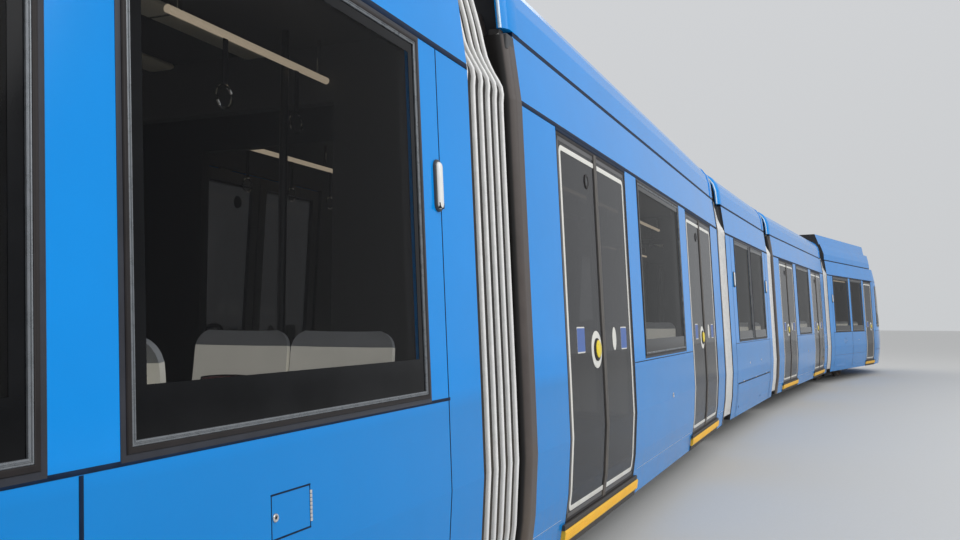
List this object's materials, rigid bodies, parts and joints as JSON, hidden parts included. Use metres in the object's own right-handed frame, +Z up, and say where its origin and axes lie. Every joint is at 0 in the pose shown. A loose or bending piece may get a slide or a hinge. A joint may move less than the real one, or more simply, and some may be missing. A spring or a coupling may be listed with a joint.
{
  "type": "five-section low-floor tram",
  "caption": "Low-floor articulated city tram: cab cars at both ends, suspended door cars and a short centre car with the current collector, joined by ribbed bellows.",
  "frame": {"origin": "the middle of the centre car at rail-head level; the wheel flanges reach 25 mm below it", "axes": "+X along the centre car, +Z up; the cars bend towards -Y, the side the picture shows"},
  "size_m": [32.8387, 3.8339, 3.425],
  "materials": {
    "body_paint": "gloss",
    "tinted_glass": "gloss",
    "wheel_steel": "worn bright tread",
    "bogie_paint": "satin",
    "bellows_fabric": "matte",
    "edge_rubber": "satin",
    "door_frame": "satin",
    "lamp_lens": "gloss",
    "seat_shell": "satin",
    "pole": "satin",
    "cab_trim": "matte",
    "roof_unit": "satin",
    "pantograph_steel": "satin"
  },
  "bodies": {
    "centre_car": {"centre_car_shell": "body_paint", "centre_car_glazing": "tinted_glass", "centre_car_roof_cowl": "body_paint", "centre_car_seats": "seat_shell", "centre_car_bogie_frame": "bogie_paint", "pantograph_base": "pantograph_steel", "bellows_2": "bellows_fabric", "bellows_3": "bellows_fabric"},
    "door_car_1": {"door_car_1_shell": "body_paint", "door_car_1_glazing": "tinted_glass", "door_car_1_door_frames": "door_frame", "door_car_1_roof_cowl": "body_paint", "door_car_1_gangway_collars": "edge_rubber", "door_car_1_roof_unit": "roof_unit", "door_car_1_seats": "seat_shell", "door_car_1_poles": "pole"},
    "door_car_2": {"door_car_2_shell": "body_paint", "door_car_2_glazing": "tinted_glass", "door_car_2_door_frames": "door_frame", "door_car_2_roof_cowl": "body_paint", "door_car_2_gangway_collars": "edge_rubber", "door_car_2_roof_unit": "roof_unit", "door_car_2_seats": "seat_shell", "door_car_2_poles": "pole"},
    "end_car_1": {"end_car_1_shell": "body_paint", "end_car_1_cab_shell": "body_paint", "end_car_1_glazing": "tinted_glass", "end_car_1_door_frames": "door_frame", "end_car_1_lamps": "lamp_lens", "end_car_1_roof_cowl": "body_paint", "end_car_1_roof_unit": "roof_unit", "end_car_1_seats": "seat_shell", "end_car_1_poles": "pole", "end_car_1_cab_desk": "cab_trim", "end_car_1_bogie_frame": "bogie_paint", "bellows_1": "bellows_fabric"},
    "end_car_2": {"end_car_2_shell": "body_paint", "end_car_2_cab_shell": "body_paint", "end_car_2_glazing": "tinted_glass", "end_car_2_door_frames": "door_frame", "end_car_2_lamps": "lamp_lens", "end_car_2_roof_cowl": "body_paint", "end_car_2_roof_unit": "roof_unit", "end_car_2_seats": "seat_shell", "end_car_2_poles": "pole", "end_car_2_cab_desk": "cab_trim", "end_car_2_bogie_frame": "bogie_paint", "bellows_4": "bellows_fabric"},
    "end_car_1_wheelset_1": {"end_car_1_wheelset_1": "wheel_steel"},
    "end_car_1_wheelset_2": {"end_car_1_wheelset_2": "wheel_steel"},
    "centre_car_wheelset_1": {"centre_car_wheelset_1": "wheel_steel"},
    "centre_car_wheelset_2": {"centre_car_wheelset_2": "wheel_steel"},
    "end_car_2_wheelset_1": {"end_car_2_wheelset_1": "wheel_steel"},
    "end_car_2_wheelset_2": {"end_car_2_wheelset_2": "wheel_steel"},
    "pantograph_lower_arm": {"pantograph_lower_arm": "pantograph_steel"},
    "pantograph_upper_arm": {"pantograph_upper_arm": "pantograph_steel"},
    "pantograph_head": {"pantograph_head": "pantograph_steel"}
  },
  "joints": [
    {"name": "articulation_2", "type": "hinge", "parent": "centre_car", "child": "door_car_1", "pos_m": [-2.1, 0, 0.26], "axis": [0, 0, 1], "range_deg": [-17.6, 12.4], "deforming": ["bellows_2"]},
    {"name": "articulation_1", "type": "hinge", "parent": "door_car_1", "child": "end_car_1", "pos_m": [-9.14274, -0.31981, 0.26], "axis": [0, 0, 1], "range_deg": [-15.5, 14.5], "deforming": ["bellows_1"]},
    {"name": "articulation_3", "type": "hinge", "parent": "centre_car", "child": "door_car_2", "pos_m": [2.1, 0, 0.26], "axis": [0, 0, 1], "range_deg": [-12.8, 17.2], "deforming": ["bellows_3"]},
    {"name": "articulation_4", "type": "hinge", "parent": "door_car_2", "child": "end_car_2", "pos_m": [9.1448, -0.27063, 0.26], "axis": [0, 0, 1], "range_deg": [-7, 23], "deforming": ["bellows_4"]},
    {"name": "end_car_1_axle_1", "type": "hinge", "parent": "end_car_1", "child": "end_car_1_wheelset_1", "pos_m": [-10.34099, -0.3847, 0.295], "axis": [0.0541, -0.9985, 0], "continuous": true},
    {"name": "end_car_1_axle_2", "type": "hinge", "parent": "end_car_1", "child": "end_car_1_wheelset_2", "pos_m": [-12.13835, -0.48205, 0.295], "axis": [0.0541, -0.9985, 0], "continuous": true},
    {"name": "centre_car_axle_1", "type": "hinge", "parent": "centre_car", "child": "centre_car_wheelset_1", "pos_m": [-0.9, 0, 0.295], "axis": [0, 1, 0], "continuous": true},
    {"name": "centre_car_axle_2", "type": "hinge", "parent": "centre_car", "child": "centre_car_wheelset_2", "pos_m": [0.9, 0, 0.295], "axis": [0, 1, 0], "continuous": true},
    {"name": "end_car_2_axle_1", "type": "hinge", "parent": "end_car_2", "child": "end_car_2_wheelset_1", "pos_m": [10.32584, -0.48314, 0.295], "axis": [0.1771, 0.9842, 0], "continuous": true},
    {"name": "end_car_2_axle_2", "type": "hinge", "parent": "end_car_2", "child": "end_car_2_wheelset_2", "pos_m": [12.09739, -0.80189, 0.295], "axis": [0.1771, 0.9842, 0], "continuous": true},
    {"name": "pantograph_raise", "type": "hinge", "parent": "centre_car", "child": "pantograph_lower_arm", "pos_m": [0.65, 0, 3.09], "axis": [0, 1, 0], "range_deg": [0, 50]},
    {"name": "pantograph_elbow", "type": "hinge", "parent": "pantograph_lower_arm", "child": "pantograph_upper_arm", "pos_m": [-0.59524, 0, 3.19895], "axis": [0, -1, 0], "range_deg": [0, 100]},
    {"name": "pantograph_head_level", "type": "hinge", "parent": "pantograph_upper_arm", "child": "pantograph_head", "pos_m": [0.65, 0, 3.30789], "axis": [0, 1, 0], "range_deg": [0, 50]}
  ],
  "couplings": [
    {"joint": "pantograph_elbow", "follows": "pantograph_raise", "ratio": 2},
    {"joint": "pantograph_head_level", "follows": "pantograph_raise", "ratio": 1}
  ]
}
